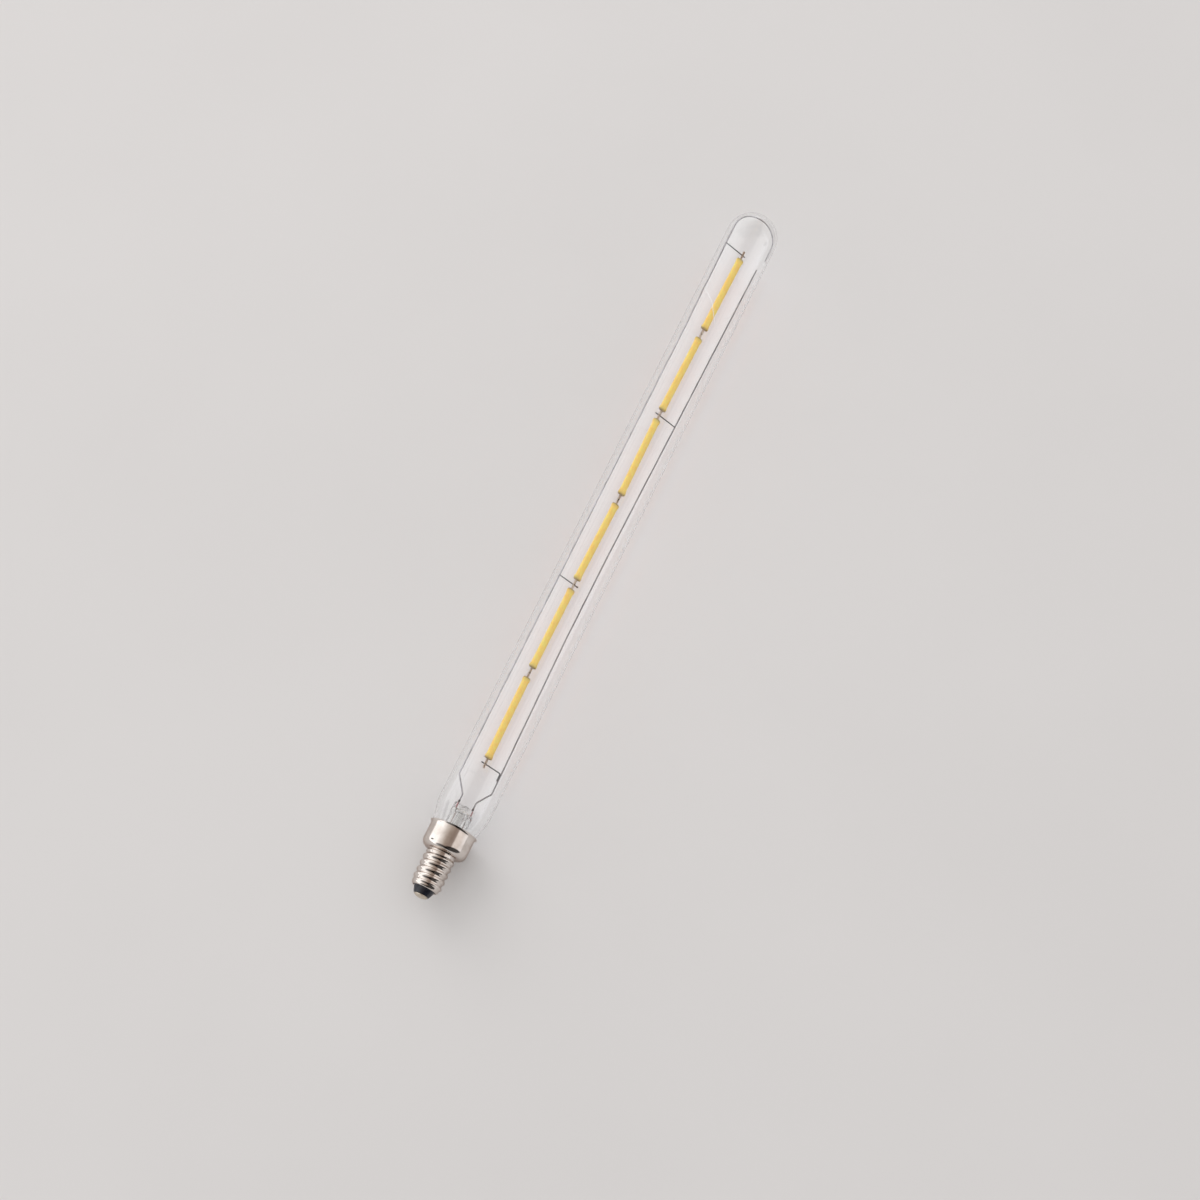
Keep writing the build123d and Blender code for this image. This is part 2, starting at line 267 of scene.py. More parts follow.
mark_line = [
    (260.9, -167.0), (258.0, -148.0), (255.3, -132.0),
    (251.5, -118.9), (248.6, -108.8), (247.5, -103.6),
]
mark_width = 0.22
mark_end_share = 0.4
mark_inset = 0.03
mark_thickness = 0.04


def mark_rings():
    """Thin flat sections of the hairline, square to its run, narrow at both ends."""
    places = [Vector((tube_radius * math.radians(turn), height)) for height, turn in mark_line]
    last = len(places) - 1
    deep = mark_inset + mark_thickness
    rings = []
    for number, spot in enumerate(places):
        along = (places[min(number + 1, last)] - places[max(number - 1, 0)]).normalized()
        half_width = mark_width / 2 * (1 if 0 < number < last else mark_end_share)
        ring = []
        for side, inset in ((-1, mark_inset), (1, mark_inset), (1, deep), (-1, deep)):
            edge = spot + Vector((-along.y, along.x)) * side * half_width
            turn = edge.x / tube_radius
            radius = tube_radius - inset
            ring.append((radius * math.cos(turn), radius * math.sin(turn), edge.y))
        rings.append(ring)
    ends = []
    for ring in (rings[0], rings[-1]):
        ends.append([tuple(sum(point[axis] for point in ring) / len(ring) for axis in range(3))])
    return [ends[0], *rings, ends[1]]


def mottling():
    """Node group: soft clouds over a surface, for its patches, speckles and pits."""
    group, given, put = new_group("mottling", {"Scale": 1000.0, "Detail": 4.0}, ("Cloud",))
    nodes, links = group.nodes, group.links
    where = nodes.new("ShaderNodeTexCoord")
    cloud = nodes.new("ShaderNodeTexNoise")
    links.new(where.outputs["Object"], cloud.inputs["Vector"])
    links.new(given.outputs["Scale"], cloud.inputs["Scale"])
    links.new(given.outputs["Detail"], cloud.inputs["Detail"])
    links.new(cloud.outputs["Fac"], put.inputs["Cloud"])
    return group


def coloured(nodes, links, value, shades):
    """Colours that follow a value, through a ramp of places and colours."""
    ramp = nodes.new("ShaderNodeValToRGB")
    elements = ramp.color_ramp.elements
    elements.remove(elements[0])
    for number, (position, colour) in enumerate(shades):
        element = elements.new(position) if number else elements[0]
        element.position = position
        element.color = (*colour, 1)
    links.new(value, ramp.inputs["Fac"])
    return ramp.outputs["Color"]


clouds = mottling()


def speckled(name, colour, dark, scale, roughness, height):
    """Matt material with fine speckles: paint, cement, laminate and resin."""
    material, nodes, links, shader = new_material(name)
    cloud = placed(nodes, clouds, scale=scale, detail=6.0).outputs["Cloud"]
    links.new(coloured(nodes, links, cloud, [(0.35, dark), (0.6, colour)]), shader.inputs["Base Color"])
    shader.inputs["Roughness"].default_value = roughness
    raised(nodes, links, shader, cloud, height)
    return material


# Painted highlight: the hairline is coloured near-white instead of lighting itself through the glass.
mark_highlight = speckled(
    "hairline painted highlight", (0.90, 0.89, 0.88), (0.72, 0.71, 0.70), scale=4000.0, roughness=0.35, height=0.000004)
piece("hairline_mark", joined_rings(mark_rings()), mark_highlight, "clear_glass")


# Stem: a flared glass tube, sealed to the neck at its foot. Its top was pressed flat
# between jaws while hot, round the two seal wires and over the exhaust tube's mouth.

stem_radius = 4.2
stem_wall = 0.65
flare_top = 25.5
flare_curve = 0.6
flare_steps = 12
stem_top = 33.0
press_low = 34.9
press_top = 36.9
press_steps = 8
press_half_width = 4.55
press_half_depth = 1.4
press_squareness = 0.9
face_flatness = 0.8
cavity_half_depth = 0.55
cavity_top = press_low + 0.2
press_round = 0.45
edge_turn = 18


def oval(half_width, half_depth, height, sides=72):
    """Ring with flat faces and round ends, as a pressed tube has."""
    pressed = half_depth < half_width
    width_power = press_squareness if pressed else 1
    depth_power = press_squareness * face_flatness if pressed else 1
    ring = []
    for side in range(sides):
        turn = math.tau * side / sides
        across, away = math.cos(turn), math.sin(turn)
        ring.append((
            half_width * math.copysign(abs(across) ** width_power, across),
            half_depth * math.copysign(abs(away) ** depth_power, away),
            height))
    return ring


def stem_rings(inset, half_depth, top):
    """Rings of the stem's outer or inner face, from the flare's edge to the press."""
    rings = []
    for step in range(flare_steps + 1):
        radius = neck_radius - inset - (neck_radius - stem_radius) * ease(step / flare_steps) ** flare_curve
        height = seal_height - glass_wall + (flare_top - seal_height) * step / flare_steps
        rings.append(oval(radius, radius, height))
    rings.append(oval(stem_radius - inset, stem_radius - inset, stem_top))
    for step in range(1, press_steps + 1):
        share = ease(step / press_steps)
        rings.append(oval(
            stem_radius - inset + (press_half_width - stem_radius) * share,
            stem_radius - inset + (half_depth - stem_radius + inset) * share,
            stem_top + (press_low - stem_top) * step / press_steps))
    for turn in range(0, 91, edge_turn):
        back = press_round * (1 - math.cos(math.radians(turn)))
        rise = press_round * math.sin(math.radians(turn))
        rings.append(oval(press_half_width - inset - back, half_depth - back, top - press_round + rise))
    rings.append([(0, 0, top)])
    return rings


stem_glass = glass(
    "stem glass", (0.99, 0.995, 0.992), streak_height=0.00010, across_scale=1000.0, along_scale=25.0)
outer_face = stem_rings(0, press_half_depth, press_top)
inner_face = stem_rings(stem_wall, cavity_half_depth, cavity_top)
piece("stem_flare", joined_rings([*reversed(outer_face), *inner_face]), stem_glass, "clear_glass", "stem")


# Exhaust tube: the thin glass tube that the air was drawn out through. It hangs in the stem
# and was sealed off with a flame, which leaves a drawn tip.

exhaust_radius = 1.5
exhaust_wall = 0.45
exhaust_tip = (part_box("exhaust_tube")[0][0] - tip_place) / MM
exhaust_top = (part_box("exhaust_tube")[1][0] - tip_place) / MM
tip_length = 2.2
tip_curve = 0.8
tip_steps = 8


def exhaust_side(inset):
    """Outline of the exhaust tube from its drawn tip to its mouth, moved in by inset."""
    drawn = []
    for step in range(tip_steps + 1):
        share = step / tip_steps
        radius = (exhaust_radius - inset) * math.sin(math.pi / 2 * share) ** tip_curve
        drawn.append((radius, exhaust_tip + inset + tip_length * share))
    return [*drawn, (exhaust_radius - inset, exhaust_top)]


exhaust_outline = [*exhaust_side(0), *reversed(exhaust_side(exhaust_wall))]
exhaust_form = turned(exhaust_outline, sides=48, closed=False)
piece("exhaust_stub", exhaust_form, stem_glass, "clear_glass", "exhaust_tube")


# Exhaust hole: blown out of the press's front while it was soft, through which the exhaust
# tube opens to the bulb. Its edge stands up as a slanted oval ring of glass.

hole_across = -0.9
hole_height = 35.85
hole_half_width = 1.7
hole_half_height = 0.7
hole_slant = math.radians(20)
hole_steps = 48
hole_edge = 0.32
edge_sides = 12


def hole_edge_rings():
    """Round sections of the hole's edge, all the way round the slanted oval."""
    rings = []
    for step in range(hole_steps):
        turn = math.tau * step / hole_steps
        ring = []
        for side in range(edge_sides):
            angle = math.tau * side / edge_sides
            reach = hole_edge * math.cos(angle)
            wide = (hole_half_width + reach) * math.cos(turn)
            high = (hole_half_height + reach) * math.sin(turn)
            ring.append((
                hole_across + wide * math.cos(hole_slant) - high * math.sin(hole_slant),
                -press_half_depth - hole_edge * math.sin(angle),
                hole_height + wide * math.sin(hole_slant) + high * math.cos(hole_slant)))
        rings.append(ring)
    return rings


piece("exhaust_hole_edge", joined_rings(hole_edge_rings(), closed=True), stem_glass, "clear_glass")


# Lead wires: drawn nickel iron wire, bent to shape. The left one is carried round in the dome
# and rests the frame against the glass; the right one stops short of it, with a sharp lower bend.

lead_radius = 0.3
wire_reach = tube_radius - glass_wall - lead_radius
loop_gap = 0.4
loop_radius = wire_reach - loop_gap
loop_steps = 40
loop_tail = 286.4
loop_twist = 2.4
seal_wire_place = 3.3
lead_foot = 37.12
inner_bend = 40.4
outer_bend = 46.2
wire_bend = 1.2
bend_steps = 8
first_joint = 54.4
joint_spacing = 38.15
last_joint = first_joint + 6 * joint_spacing
long_bend_gap = 1.1
long_head_gap = 0.95
short_bend_gap = 1.85
short_sway_gaps = (3.15, 3.05)
short_end_gap = 0.8
short_end_drop = 1.0
nib_ends = (0.3, -0.1, -0.5)
lead_corners = {
    "long": [
        (-seal_wire_place, lead_foot), (-seal_wire_place, inner_bend),
        (long_bend_gap - wire_reach, outer_bend),
        (long_head_gap - wire_reach, first_joint + 5 * joint_spacing), (-loop_radius, last_joint),
        *[(-across, height) for across, height in arc(0, dome_centre, loop_radius, 0, 180, loop_steps)],
        (loop_radius, loop_tail),
    ],
    "short": [
        (seal_wire_place, lead_foot), (seal_wire_place, inner_bend),
        (wire_reach - short_bend_gap, outer_bend),
        (wire_reach - short_sway_gaps[0], first_joint + 1.5 * joint_spacing),
        (wire_reach - short_sway_gaps[1], first_joint + 2.5 * joint_spacing),
        (wire_reach - short_end_gap, last_joint - short_end_drop),
    ],
}


def lead_place(side, height):
    """How far across a lead wire lies at a height."""
    corners = lead_corners[side]
    for (low_place, low), (high_place, high) in zip(corners, corners[1:]):
        if height <= high:
            break
    return low_place + (high_place - low_place) * (height - low) / (high - low)


def rounded(corners, bends):
    """A wire's centre line in the frame's plane, with its first corners rounded."""
    points = [Vector((across, 0, height)) for across, height in corners]
    line = [points[0]]
    for number, corner in enumerate(points[1:-1]):
        if number >= len(bends):
            line.append(corner)
            continue
        back, on = (points[number] - corner).normalized(), (points[number + 2] - corner).normalized()
        setback = bends[number] / math.tan(back.angle(on) / 2)
        for step in range(bend_steps + 1):
            share = step / bend_steps
            line.append(corner + back * setback * (1 - share) ** 2 + on * setback * share ** 2)
    return [*line, points[-1]]


def wire_form(line, radius, form=None, sides=16):
    """Round wire along a line of points, with flat cut ends."""
    turns = [math.tau * turn / sides for turn in range(sides)]
    rings = []
    for number, point in enumerate(line):
        along = (line[min(number + 1, len(line) - 1)] - line[max(number - 1, 0)]).normalized()
        side = along.cross(Vector((0, 1, 0))).normalized()
        out = along.cross(side)
        rings.append([point + radius * (side * math.cos(turn) + out * math.sin(turn)) for turn in turns])
    return joined_rings([[line[0]], *rings, [line[-1]]], form=form)


def drawn_metal(name, colour, dark, roughness):
    """Drawn wire: a metal with lines along it and dull, darker patches."""
    material, nodes, links, shader = new_material(name)
    shader.inputs["Metallic"].default_value = 1.0
    lines = placed(nodes, streaks, across_scale=3000.0, along_scale=160.0)
    tint = nodes.new("ShaderNodeMix")
    tint.data_type = "RGBA"
    tint.inputs["A"].default_value = (*colour, 1)
    tint.inputs["B"].default_value = (*dark, 1)
    links.new(lines.outputs["Mask"], tint.inputs["Factor"])
    links.new(tint.outputs["Result"], shader.inputs["Base Color"])
    dull = ranged(nodes, links, lines.outputs["Mask"], roughness, min(1.0, roughness + 0.22))
    links.new(dull, shader.inputs["Roughness"])
    raised(nodes, links, shader, lines.outputs["Height"], 0.00001)
    return material


# The left lead's metal is lighter than the right's as a painted reflection of the bright glass over it; both
# wires are the same metal.
lead_metal_painted_reflection = drawn_metal("lead wire metal painted reflection", (0.62, 0.605, 0.65), (0.40, 0.39, 0.42), 0.36)
plain_lead_metal = drawn_metal("plain lead wire metal", (0.42, 0.405, 0.42), (0.22, 0.21, 0.225), 0.42)
long_line = rounded(lead_corners["long"], [wire_bend, wire_bend])
for point in long_line:
    if point.z > last_joint:
        point.y = -loop_twist * ease((point.x / loop_radius + 1) / 2)
long_lead = wire_form(long_line, lead_radius)
short_lead = wire_form(rounded(lead_corners["short"], [wire_bend, 2 * lead_radius]), lead_radius)
nib_place, nib_top = lead_corners["short"][2]
wire_form([Vector((nib_place, 0, nib_top + end)) for end in nib_ends], lead_radius, short_lead)
piece("left_lead", long_lead, lead_metal_painted_reflection, "lead_wire", "long_lead_wire")
piece("right_lead", short_lead, plain_lead_metal, "lead_wire", "short_lead_wire")


# Cross wires: thinner nickel iron wire, spot welded to a lead wire at one end and to the
# filaments' tabs at the other. The lowest one is bent down along the right lead wire.

cross_radius = 0.225
cross_steps = 6
wire_gap = 0.02
cross_wires = [("lower", 2, "long", 0.1), ("upper", 4, "short", -3.1), ("head", 6, "long", 1.1)]
foot_wire_end = -2.4
foot_wire_drop = 3.1
foot_wire_bend = 0.5
cross_metal = drawn_metal("cross wire metal", (0.20, 0.19, 0.195), (0.09, 0.085, 0.09), 0.45)
for name, joint, lead, free_end in cross_wires:
    height = first_joint + joint * joint_spacing
    touch = lead_place(lead, height)
    touch -= math.copysign(lead_radius + wire_gap, touch)
    run = touch - free_end
    line = [Vector((free_end + run * step / cross_steps, 0, height)) for step in range(cross_steps + 1)]
    bar = wire_form(line, cross_radius)
    piece(f"{name}_cross_wire", bar, cross_metal, "lead_wire", f"cross_wire_{name}")
beside = lead_radius + cross_radius + wire_gap
foot_corners = [(foot_wire_end, first_joint)]
for height in (first_joint, first_joint - foot_wire_drop):
    foot_corners.append((lead_place("short", height) - beside, height))
foot_wire = wire_form(rounded(foot_corners, [foot_wire_bend]), cross_radius)
piece("foot_cross_wire", foot_wire, cross_metal, "lead_wire", "cross_wire_foot")


# Welds: small dark beads of run metal where the lead wires stand on the seal wires, where the
# cross wires meet the lead wires, and where the tabs are spot welded to the cross wires and to
# each other.

bead_rows = 8
bead_sides = 14
bead_wander = 0.16
seal_bead = (0.43, 0.43, 0.75)
seal_bead_rise = 0.45
cross_bead = (0.3, 0.34, 0.3)
cross_bead_inset = 0.22
foot_bead = (0.36, 0.36, 0.6)
foot_bead_inset = 0.3
foot_bead_drops = (0.7, 1.7, 2.6)
joint_places = [-0.8, -1.4, -1.4, -0.8, -1.4, -0.9, -0.3]
crossed_bead = (0.3, 0.08, 0.26)
tab_bead = (0.36, 0.08, 0.26)
tab_bead_shift = 0.1
tab_bead_front = -0.45
free_end_bead = (0.4, 0.35, 0.32)
free_end_place = 0.45


def bead(form, centre, across, away, rise):
    """Adds a small run bead of metal to a form."""
    rings = []
    for row in range(1, bead_rows):
        turn = math.pi * row / bead_rows - math.pi / 2
        ring = []
        for side in range(bead_sides):
            angle = math.tau * side / bead_sides
            lump = noise.noise(Vector(centre) + Vector((math.cos(angle), math.sin(angle), row)))
            wander = 1 + bead_wander * lump
            ring.append((
                centre[0] + across * wander * math.cos(turn) * math.cos(angle),
                centre[1] + away * wander * math.cos(turn) * math.sin(angle),
                centre[2] + rise * math.sin(turn)))
        rings.append(ring)
    low, high = ((centre[0], centre[1], centre[2] + end * rise) for end in (-1, 1))
    joined_rings([[low], *rings, [high]], form=form)


weld_metal = drawn_metal("weld metal", (0.20, 0.16, 0.15), (0.07, 0.055, 0.05), 0.5)
welds = bmesh.new()
for side in (-1, 1):
    bead(welds, (side * seal_wire_place, 0, lead_foot + seal_bead_rise), *seal_bead)
for _, joint, lead, _ in cross_wires:
    height = first_joint + joint * joint_spacing
    touch = lead_place(lead, height)
    bead(welds, (touch - math.copysign(cross_bead_inset, touch), 0, height), *cross_bead)
for drop in foot_bead_drops:
    height = first_joint - drop
    bead(welds, (lead_place("short", height) - foot_bead_inset, 0, height), *foot_bead)
for joint, across in enumerate(joint_places):
    height = first_joint + joint * joint_spacing
    size = tab_bead if joint % 2 else crossed_bead
    bead(welds, (across + tab_bead_shift, tab_bead_front, height), *size)
bead(welds, (free_end_place, 0, first_joint + 2 * joint_spacing), *free_end_bead)
piece("weld_beads", welds, weld_metal, "lead_wire")


# Seal wires and the wires below them: copper-sheathed wire in the press, pinkish where
# the glass wets it, and tinned copper from there down to the driver's board.

seal_wire_radius = 0.27
seal_wire_top = press_top + 0.2
seal_wire_steps = 4


def finish_node(name, material):
    """Gives a CAD node its material."""
    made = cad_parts[name]
    made.data.materials.clear()
    made.data.materials.append(material)


seal_metal = drawn_metal("seal wire metal", (0.80, 0.44, 0.45), (0.58, 0.25, 0.28), 0.4)
copper = drawn_metal("tinned copper", (0.46, 0.38, 0.36), (0.26, 0.20, 0.19), 0.34)
for name, side in (("long", -1), ("short", 1)):
    line = []
    for step in range(seal_wire_steps + 1):
        height = press_low + (seal_wire_top - press_low) * step / seal_wire_steps
        line.append(Vector((side * seal_wire_place, 0, height)))
    wire = wire_form(line, seal_wire_radius)
    piece(f"sheathed_{name}_wire", wire, seal_metal, "seal_wire", f"seal_wire_{name}")
for name in ("outer_lead_long", "outer_lead_short", "live_lead", "neutral_lead"):
    finish_node(name, copper)


# Filaments: chips on a thin metal strip, moulded over with yellow phosphor silicone.
# The strips' bare tabs are welded to each other and to the cross wires.

coat_width = 2.8
coat_thickness = 1.7
coat_length = 34.0
coat_rows = 72
coat_sides = 32
side_flatness = 0.8
face_roundness = 0.85
end_share = 0.72
end_round = 0.7
end_swell = 0.17
swell_length = 1.2
swell_fade = 0.8
coat_wander = 0.025
lumps_along = 0.7
lumps_round = 0.8
lumps_apart = 7
node_end = 0.6
filament_count = 6
warm_light = (1.15, 0.62, 0.08, 1)
silicone_colours = [
    (0.3, (0.93, 0.60, 0.13)), (0.48, (0.97, 0.67, 0.155)), (0.66, (0.92, 0.72, 0.17)),
]
# Painted shade at the coats' ends: where along a coat it is darkened, and how much.
painted_end_shade = [
    (0.0, 1.0), (0.01, 0.75), (0.025, 0.25), (0.06, 0.0),
    (0.94, 0.0), (0.975, 0.25), (0.99, 0.75), (1.0, 1.0),
]


def phosphor(name):
    """Phosphor silicone: golden, mottled, with painted shade at both ends, and warm light through it."""
    material, nodes, links, shader = new_material(name)
    cloud = placed(nodes, clouds, scale=420.0, detail=3.0).outputs["Cloud"]
    where = nodes.new("ShaderNodeTexCoord")
    split = nodes.new("ShaderNodeSeparateXYZ")
    links.new(where.outputs["Generated"], split.inputs["Vector"])
    # Painted shade: both ends are tinted towards dark brown.
    ends = coloured(
        nodes, links, split.outputs["X"], [(position, (dark, dark, dark)) for position, dark in painted_end_shade])
    tint = nodes.new("ShaderNodeMix")
    tint.data_type = "RGBA"
    tint.inputs["B"].default_value = (0.34, 0.25, 0.10, 1)
    links.new(ends, tint.inputs["Factor"])
    links.new(coloured(nodes, links, cloud, silicone_colours), tint.inputs["A"])
    links.new(tint.outputs["Result"], shader.inputs["Base Color"])
    shader.inputs["Roughness"].default_value = 0.42
    shader.inputs["Subsurface Weight"].default_value = 0.25
    shader.inputs["Subsurface Radius"].default_value = (1.0, 0.6, 0.2)
    shader.inputs["Subsurface Scale"].default_value = 0.0006
    shader.inputs["Coat Weight"].default_value = 0.25
    shader.inputs["Coat Roughness"].default_value = 0.2
    raised(nodes, links, shader, cloud, 0.00012, strength=0.5)
    let_light_through(nodes, links, shader, warm_light)
    return material


def bulb_point(point):
    """A point of the frame as a point of the upright bulb, the other way round from place."""
    side, drop = point[1] / MM, (axis_height - point[2]) / MM
    across = drop * math.sin(frame_roll) - side * math.cos(frame_roll)
    away = side * math.sin(frame_roll) + drop * math.cos(frame_roll)
    return across, away, (point[0] - tip_place) / MM


def line_of(node):
    """Where a straight node's axis is at its two ends, on the upright bulb."""
    points = [bulb_point(vertex.co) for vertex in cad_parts[node].data.vertices]
    heights = [height for _, _, height in points]
    ends = []
    for level in (min(heights), max(heights)):
        near = [point for point in points if abs(point[2] - level) < node_end]
        ends.append(Vector([sum(point[axis] for point in near) / len(near) for axis in range(3)]))
    return ends


def coat_form(number):
    """Rounded bar along its strip, swollen near its ends and a little uneven, as moulded silicone is."""
    low, high = line_of(f"filament_coat_{number}")
    along = (high - low).normalized()
    sideways = along.cross(Vector((0, 1, 0))).normalized()
    outward = along.cross(sideways)
    rings = []
    for row in range(coat_rows + 1):
        share = row / coat_rows
        centre = low + (high - low) * share
        from_end = min(share, 1 - share) * coat_length
        shrink = end_share + (1 - end_share) * math.sqrt(1 - (1 - min(from_end / end_round, 1)) ** 2)
        wide = 1 + end_swell * (1 - ease((from_end - swell_length) / swell_fade))
        ring = []
        for side in range(coat_sides):
            turn = math.tau * side / coat_sides
            across, away = math.cos(turn), math.sin(turn)
            lump = noise.noise(Vector((
                centre.z * lumps_along, across * lumps_round, away * lumps_round + number * lumps_apart)))
            size = shrink * (1 + coat_wander * lump)
            across = math.copysign(abs(across) ** side_flatness, across)
            away = math.copysign(abs(away) ** face_roundness, away)
            ring.append(centre
                        + sideways * coat_width / 2 * wide * size * across
                        + outward * coat_thickness / 2 * size * away)
        rings.append(ring)
    return joined_rings([[low], *rings, [high]])


phosphor_coat = phosphor("phosphor silicone")
strip_metal = drawn_metal("filament strip metal", (0.88, 0.78, 0.67), (0.66, 0.52, 0.42), 0.5)
for number in range(1, filament_count + 1):
    coat = coat_form(number)
    piece(f"phosphor_bar_{number}", coat, phosphor_coat, "phosphor_coat", f"filament_coat_{number}")
    finish_node(f"filament_strip_{number}", strip_metal)


# Cap shell: thin nickel-plated brass, drawn to a cup, with the screw thread rolled into its
# barrel. It is curled in round the insulator, and its flared rim holds the cement.

root_radius = 5.215
thread_depth = 0.635
thread_pitch = 2.54
rings_per_turn = 16
first_crest = 4.6
cap_wall = 0.25
lip_low = 3.6
lip_curl = 1.3
lip_curl_height = 4.75
lip_curl_start = -62
thread_low = 4.5
thread_high = 17.35
runout = 1.0
barrel_low = thread_low + 0.25
barrel_top = 17.9
barrel_fillet = 0.4
collar_radius = 8.6
collar_low = 20.5
collar_high = 26.7
collar_steps = 4
rim_top = 27.5
rim_flare = 0.6
rim_curve = 1.6
rim_steps = 6
shoulder_radius = 2.6


def cap_side(inset):
    """Outline of the cap's sheet from its lip to its rim, moved in by inset."""
    lip = arc(root_radius - lip_curl, lip_curl_height, lip_curl - inset, lip_curl_start, 0, steps=8)
    steps = round((thread_high - thread_low) / thread_pitch * rings_per_turn)
    barrel = []
    for step in range(1, steps + 1):
        barrel.append((root_radius - inset, barrel_low + (thread_high - thread_low) * step / steps))
    fillet = arc(
        root_radius + barrel_fillet, barrel_top - barrel_fillet, barrel_fillet + inset, 180, 90, steps=5)[1:]
    shoulder = arc(collar_radius - shoulder_radius, collar_low, shoulder_radius - inset, -90, 0, steps=12)
    collar = []
    for step in range(1, collar_steps + 1):
        collar.append((collar_radius - inset, collar_low + (collar_high - collar_low) * step / collar_steps))
    rim = []
    for step in range(1, rim_steps + 1):
        flare = rim_flare * (step / rim_steps) ** rim_curve
        height = collar_high + (rim_top - collar_high) * step / rim_steps
        rim.append((collar_radius - inset + flare, height))
    return [*lip, *barrel, *fillet, *shoulder, *collar, *rim]


def threaded_ring(radius, height, sides=144):
    """Ring of the cap, let out by the rolled thread where it passes."""
    share = ease((height - thread_low) / runout) * ease((thread_high - height) / runout)
    ring = []
    for side in range(sides):
        turn = math.tau * side / sides
        phase = (height - first_crest) / thread_pitch - (turn - math.pi) / math.tau
        wave = 0.5 + 0.5 * math.cos(math.tau * phase)
        reach = radius + share * thread_depth * wave
        ring.append((reach * math.cos(turn), reach * math.sin(turn), height))
    return ring


def nickel(name):
    """Nickel plate: bright and warm, darker at a slant, with fine scuffs and duller patches."""
    material, nodes, links, shader = new_material(name)
    shader.inputs["Metallic"].default_value = 1.0
    shader.inputs["Specular Tint"].default_value = (0.66, 0.59, 0.56, 1)
    patches = placed(nodes, clouds, scale=260.0, detail=5.0).outputs["Cloud"]
    tint = coloured(nodes, links, patches, [(0.35, (0.66, 0.60, 0.555)), (0.62, (0.78, 0.73, 0.69))])
    links.new(tint, shader.inputs["Base Color"])
    dull = ranged(nodes, links, patches, 0.17, 0.08, start=0.3, end=0.7)
    links.new(dull, shader.inputs["Roughness"])
    scuffs = placed(nodes, streaks, across_scale=300.0, along_scale=5000.0)
    raised(nodes, links, shader, scuffs.outputs["Height"], 0.000006)
    return material


nickel_plate = nickel("nickel plate")
cap_outline = [*cap_side(0), *reversed(cap_side(cap_wall))]
cap_form = joined_rings([threaded_ring(*point) for point in cap_outline], closed=True)
screw_cap = piece("screw_cap", cap_form, nickel_plate, "cap_nickel", "cap_shell")


# Insulator: black glass, poured into the cap's foot while soft and pressed to a cone below
# the lip. It holds the centre contact clear of the shell, with a small hole for the live lead.

contact_height = 1.1
insulator_foot = 3.05
insulator_lip = 4.0
insulator_side = 4.9
insulator_top = 6.0
insulator_hole = 0.3
insulator_edge = 0.15
insulator_chamfer = 0.2
cone_gap = 0.12
cone_drop = 0.35
lip_gap = 0.08
lip_seat_rise = 1.0


def poured_glass(name):
    """Poured black glass: bluish black, glossy, with small dull pits."""
    material, nodes, links, shader = new_material(name)
    pits = placed(nodes, clouds, scale=700.0, detail=4.0).outputs["Cloud"]
    tint = coloured(nodes, links, pits, [(0.0, (0.004, 0.005, 0.009)), (1.0, (0.013, 0.015, 0.026))])
    links.new(tint, shader.inputs["Base Color"])
    links.new(ranged(nodes, links, pits, 0.12, 0.4), shader.inputs["Roughness"])
    raised(nodes, links, shader, pits, 0.00003)
    return material


black_glass = poured_glass("poured black glass")
insulator_outline = [
    (insulator_hole, contact_height), (insulator_foot - insulator_edge, contact_height),
    *arc(insulator_foot - insulator_edge, contact_height + insulator_edge, insulator_edge, -90, -20, steps=4),
    (insulator_lip - cone_gap, lip_low - cone_drop), (insulator_lip - lip_gap, lip_low),
    (insulator_side, lip_low + lip_seat_rise), (insulator_side, insulator_top - insulator_chamfer),
    (insulator_side - insulator_chamfer, insulator_top), (insulator_hole, insulator_top),
]
piece("glass_insulator", turned(insulator_outline), black_glass, "black_glass", "insulator")


# Centre contact: a domed disc of tinned brass, set in the insulator's foot. The live lead
# comes through it, and its solder is run out over the whole face.

contact_radius = 2.6
contact_crown = 0.72
contact_curve = 2.4
contact_steps = 10
contact_gap = 0.05


def solder(name):
    """Tin solder: pale, warm and satin, with small ripples."""
    material, nodes, links, shader = new_material(name)
    shader.inputs["Metallic"].default_value = 0.85
    ripples = placed(nodes, clouds, scale=900.0, detail=5.0).outputs["Cloud"]
    tint = coloured(nodes, links, ripples, [(0.0, (0.48, 0.41, 0.33)), (1.0, (0.78, 0.71, 0.61))])
    links.new(tint, shader.inputs["Base Color"])
    shader.inputs["Roughness"].default_value = 0.42
    raised(nodes, links, shader, ripples, 0.00006)
    return material


tin_solder = solder("tin solder")
contact_outline = [(0, 0)]
for step in range(1, contact_steps + 1):
    share = step / contact_steps
    contact_outline.append((contact_radius * share, contact_crown * share ** contact_curve))
contact_outline += [(contact_radius, contact_height - contact_gap), (0, contact_height - contact_gap)]
contact_form = turned(contact_outline, sides=72, closed=False)
piece("contact_disc", contact_form, tin_solder, "contact_solder", "centre_contact")


# Cement: a ring of filled resin, baked between the collar and the glass neck, which holds the
# cap on. It is rough and sits below the rim. The rim's inside above it is painted dark as painted shade.

rim_shade_low = 26.0
cement = speckled(
    "baked cement", (0.22, 0.19, 0.16), (0.12, 0.10, 0.085), scale=1500.0, roughness=0.9, height=0.0001)
rim_shade = speckled(
    "painted rim shade", (0.10, 0.085, 0.075), (0.05, 0.042, 0.038), scale=1200.0, roughness=0.8, height=0.00004)
finish_node("basing_cement", cement)
# Painted shade: the rim's inward faces above the cement get a near-black material.
screw_cap.data.materials.append(rim_shade)
for face in screw_cap.data.polygons:
    across, away, height = bulb_point(face.center)
    turned_in = Vector(bulb_point(face.center + face.normal * MM)) - Vector((across, away, height))
    if height > rim_shade_low and turned_in.x * across + turned_in.y * away < 0:
        face.material_index = 1


# Driver: a small laminate board on edge in the cap's barrel, with its rectifier, regulator,
# smoothing capacitor and fuse. Nothing of it shows from outside.

